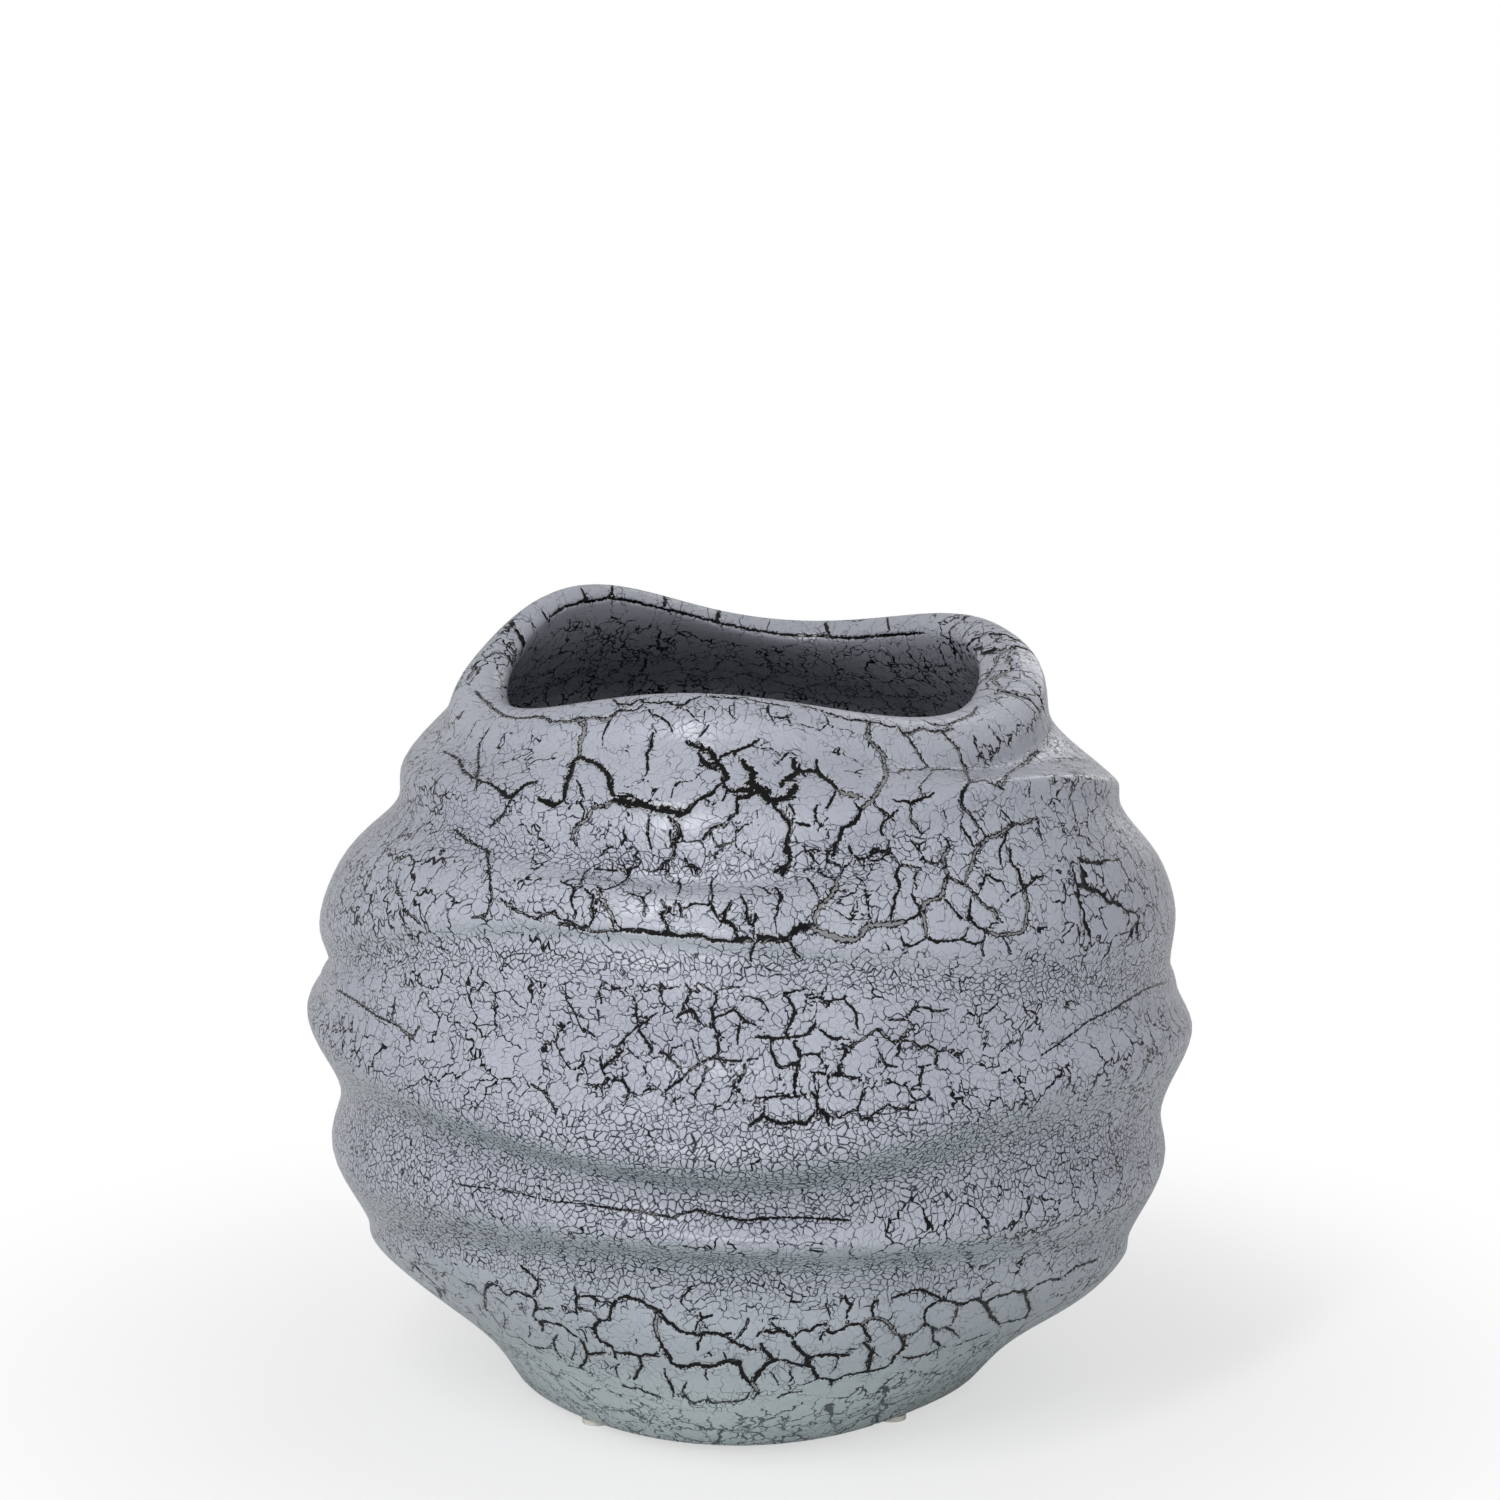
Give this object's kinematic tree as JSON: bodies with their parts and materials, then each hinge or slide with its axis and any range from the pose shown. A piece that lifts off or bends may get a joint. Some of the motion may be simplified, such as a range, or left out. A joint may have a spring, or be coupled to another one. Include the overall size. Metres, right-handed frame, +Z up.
{
  "type": "ceramic vase",
  "caption": "Squat rippled ceramic vase with a waving rolled lip and a crackled grey glaze, standing on a foot ring with small felt pads.",
  "frame": {"origin": "under the middle of the vase's box, on the surface it stands on", "axes": "+Z up out of the mouth, -Y towards the front seen in the picture, +X to that view's right"},
  "size_m": [0.25, 0.247, 0.2205],
  "materials": {
    "crackle_glaze": "satin grey crackle glaze over a gloss black ground",
    "felt": "pale pressed felt"
  },
  "bodies": {
    "root": {"vase_body": "crackle_glaze", "felt_pad_front_right": "felt", "felt_pad_back_right": "felt", "felt_pad_back_left": "felt", "felt_pad_front_left": "felt"}
  },
  "joints": []
}
